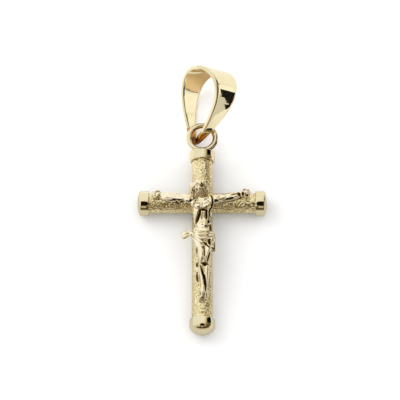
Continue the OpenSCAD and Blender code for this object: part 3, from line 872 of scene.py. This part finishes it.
figure = one_skin(forms, cast_grid)


def rubbed(mesh, factor, times):
    return worked(mesh, "SMOOTH", factor=factor, iterations=times)


figure = rubbed(figure, 0.5, 2)
skin = per_point(figure, "co") - centre
facing = np.clip(per_point(figure, "normal")[:, 2] * 1.8, 0, 1)
deep = np.zeros(len(skin))


def near_line(points, line, width):
    """1 on a bent line in the plane of the cross, fading out over its width.

    The line thins out at its ends.
    """
    c = curve_through(line, 4)
    run = np.concatenate([[0], np.cumsum(np.linalg.norm(np.diff(c, axis=0), axis=1))])
    best, place = np.full(len(points), 9.0), np.zeros(len(points))
    for k in range(len(c) - 1):
        a, b = c[k], c[k + 1]
        t = np.clip(((points - a) @ (b - a)) / max((b - a) @ (b - a), 1e-9), 0, 1)
        d = np.linalg.norm(points - a - t[:, None] * (b - a), axis=1)
        place = np.where(d < best, (run[k] + t * (run[k + 1] - run[k])) / run[-1], place)
        best = np.minimum(best, d)
    thin = 0.35 + 0.65 * np.sqrt(np.clip(np.sin(math.pi * place), 0, 1))
    return np.exp(-(best / (width * thin)) ** 2) * thin


# Chased lines and hollows, with painted shade as strong as they are deep: (bent line, width, depth,
# and how dark the painted shade is where the depth doesn't say)
full_shade_depth = 0.2
for line, width, depth, *dark in (
        # the hollow under the rib arch, its two sides and its top
        (((-0.70, -2.94), (-0.48, -2.34), (-0.28, -1.90), (-0.24, -1.42)), 0.17, 0.32),
        (((-0.40, -1.50), (0.10, -1.44), (0.58, -1.54)), 0.14, 0.28),
        (((0.47, -1.42), (0.42, -1.90), (0.48, -2.45)), 0.13, 0.30),
        (((0.10, -1.55), (-0.02, -2.05), (-0.06, -2.62)), 0.20, 0.12),
        # round the right side of the chest
        (((0.60, 0.70), (0.98, 0.28), (1.12, -0.26), (1.06, -0.85), (0.86, -1.34), (0.76, -1.65),
          (0.80, -2.02), (1.08, -2.34)), 0.085, 0.26),
        # between the breasts, and below each
        (((0.02, -0.62), (0.02, -1.30)), 0.08, 0.10),
        (((-0.90, -1.10), (-0.52, -1.36), (-0.14, -1.24)), 0.06, 0.09),
        (((0.92, -1.04), (0.54, -1.34), (0.16, -1.24)), 0.06, 0.09),
        # ribs at the left side
        (((-0.98, -1.62), (-0.64, -1.78)), 0.05, 0.07),
        (((-0.96, -1.92), (-0.66, -2.06)), 0.05, 0.07),
        (((-0.94, -2.22), (-0.74, -2.34)), 0.05, 0.06),
        # navel, the lines of the belly and the right side of the waist
        (((0.03, -3.12), (0.03, -3.22)), 0.07, 0.14),
        (((-0.66, -2.95), (-0.56, -3.55)), 0.08, 0.06),
        (((0.70, -2.95), (0.62, -3.50)), 0.08, 0.08),
        (((0.86, -2.90), (0.90, -3.30), (0.94, -3.90)), 0.15, 0.22),
        # the hollow between two locks, right of the forehead
        (((-0.12, 1.56), (-0.02, 1.24), (0.12, 0.98)), 0.12, 0.16),
        # shoulder hollows
        (((-0.62, -0.12), (-0.86, -0.66), (-0.92, -1.10)), 0.06, 0.12),
        (((-0.70, 0.10), (-0.30, -0.42)), 0.06, 0.08),
        (((0.66, 0.20), (0.24, -0.40)), 0.06, 0.08),
        # left arm: below the muscles, at the elbow and the wrist
        (((-1.88, -0.34), (-2.10, -0.26), (-2.38, -0.30)), 0.10, 0.20),
        (((-2.68, -0.30), (-2.84, -0.29)), 0.10, 0.20),
        (((-3.30, -0.06), (-3.90, 0.08)), 0.05, 0.05),
        (((-4.72, 0.26), (-4.66, 0.02)), 0.09, 0.16),
        # right arm: the elbow and the lines of the forearm
        (((1.80, -0.16), (2.15, -0.10), (2.50, 0.00)), 0.06, 0.14),
        (((3.15, 0.34), (3.60, 0.50), (4.05, 0.52)), 0.06, 0.12),
        (((3.45, 0.10), (3.90, 0.26)), 0.05, 0.09),
        # right wrist and palm
        (((3.92, 0.72), (4.12, 0.28)), 0.15, 0.30),
        (((4.40, 0.76), (4.46, 0.34)), 0.13, 0.28),
        (((4.10, 0.20), (4.56, 0.12)), 0.12, 0.24),
        (((4.86, 0.50), (4.94, 0.14)), 0.12, 0.24),
        # the fall of the loincloth
        (((0.76, -4.80), (0.74, -5.10), (0.84, -5.46)), 0.16, 0.36),
        (((1.06, -5.62), (1.26, -5.70)), 0.09, 0.2),
        # the hem over the thighs, and down the right of the knees
        (((0.04, -5.12), (0.42, -5.46), (0.88, -5.94)), 0.085, 0.22),
        (((0.84, -6.25), (0.68, -6.85), (0.52, -7.45)), 0.11, 0.26),
        # between the thighs and at their left
        (((0.18, -5.75), (0.22, -6.40), (0.20, -7.10)), 0.06, 0.16),
        (((-0.60, -5.75), (-0.58, -6.60)), 0.14, 0.15),
        # below the knees, down between the crossed shins, and on the web beside them, where shallow lines
        # get full painted shade
        (((-0.20, -7.60), (0.70, -7.64)), 0.16, 0.18),
        (((-0.20, -7.80), (0.04, -8.60), (0.22, -9.20), (0.32, -9.85), (0.33, -10.80)), 0.11, 0.36),
        (((-0.57, -7.25), (-0.55, -7.80)), 0.17, 0.10, 1.0),
        (((-0.57, -8.35), (-0.55, -8.90), (-0.48, -9.55)), 0.17, 0.10, 1.0),
        # between the toes, and at both sides of the upper foot
        (((-0.20, -11.26), (-0.21, -11.70)), 0.035, 0.07),
        (((-0.03, -11.26), (-0.04, -11.66)), 0.035, 0.07),
        (((0.11, -11.26), (0.12, -11.60)), 0.035, 0.07),
        (((0.24, -11.26), (0.26, -11.54)), 0.035, 0.07),
        (((0.24, -10.60), (0.26, -11.20)), 0.05, 0.14),
        (((-0.26, -10.60), (-0.20, -11.10)), 0.08, 0.16)):
    near = near_line(skin[:, :2], line, width)
    skin[:, 2] -= depth * near * facing
    deep = np.maximum(deep, near * (dark[0] if dark else min(1.0, depth / full_shade_depth)))

# Strands of the hair and beard, cut round the head
beard_strand, strands_round, strand_depth = 0.15, 20, 0.10
from_head = skin - head_at
side_way = from_head[:, 0] * math.cos(lean_left) + from_head[:, 1] * math.sin(lean_left)
tall = -from_head[:, 0] * math.sin(lean_left) + from_head[:, 1] * math.cos(lean_left)
crown_way = tall * math.cos(bow) + from_head[:, 2] * math.sin(bow)
face_way = from_head[:, 2] * math.cos(bow) - tall * math.sin(bow)
round_it = np.arctan2(side_way, face_way + 0.25)
on_hair = (np.abs(side_way) < 1.25) & (crown_way > -1.15) & (crown_way < 1.0)
on_hair &= (skin[:, 1] > -0.15) & (skin[:, 2] > 1.0)
is_face = (np.abs(side_way) < 0.42) & (crown_way < 0.46) & (crown_way > -0.36) & (face_way > 0.25)
on_beard = (np.abs(side_way) < 0.36) & (crown_way <= -0.40) & (face_way > 0.2)
cut = np.where(on_beard, np.sin(side_way * 2 * math.pi / beard_strand),
               np.sin(round_it * strands_round + 1.6 * np.sin(crown_way * 3.2)))
cut = np.clip(0.5 - 0.8 * cut, 0, 1) * (on_hair & ~is_face)
away = np.maximum(np.linalg.norm(from_head, axis=1), 0.2)[:, None]
skin -= (from_head / away) * (strand_depth * cut)[:, None]
# The cuts between strands take painted shade, half strength low on the head and in the beard, lighter on
# the crown
deep = np.maximum(deep, cut * np.where(crown_way < 0.45, 0.5, 0.22))
set_points(figure, skin + centre)
figure = rubbed(figure, 0.5, 1)

# Undercuts and corners between forms are the deep places too, and take painted shade
much = rubbed(figure, 0.6, 24)
sunk = ((per_point(much, "co") - per_point(figure, "co")) * per_point(figure, "normal")).sum(axis=1)
deep = np.maximum(deep, np.clip((sunk - 0.012) / 0.05, 0, 1))
mark(figure, "hollow", deep)

# The back is hollowed to lie on both tubes, and the whole stays just inside its solid's box
bed_r, box_margin = tube_r + 0.02, 0.002
skin = per_point(figure, "co") - centre
for _ in range(3):
    for across, lengthways, low, high in ((0, 1, tube_low.y - axis_y, tube_high.y - axis_y),
                                          (1, 0, tube_low.x, tube_high.x)):
        away = np.hypot(skin[:, across], skin[:, 2])
        inner = (away < bed_r) & (skin[:, lengthways] > low) & (skin[:, lengthways] < high)
        k = bed_r / np.maximum(away[inner], 1e-3)
        skin[inner, across] *= k
        skin[inner, 2] = np.maximum(skin[inner, 2], 0.02) * k
figure_low, figure_high = (np.array(v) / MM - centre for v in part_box("corpus"))
skin = np.clip(skin, figure_low + box_margin, figure_high - box_margin)
set_points(figure, skin + centre)
all_smooth(figure)
# The cast gold goes to brown and then to near black in the hollow places: painted shade
cast = metal("cast_gold", (0.97, 0.90, 0.69), (0.86, 0.74, 0.47), (0.03, 0.09), 0.4, (0.3, 0.012),
             hollows=("hollow", ((0.15, 0.55, (0.56, 0.39, 0.14)), (0.45, 0.85, (0.06, 0.04, 0.015)))))
piece("corpus_figure", figure, cast, "corpus")
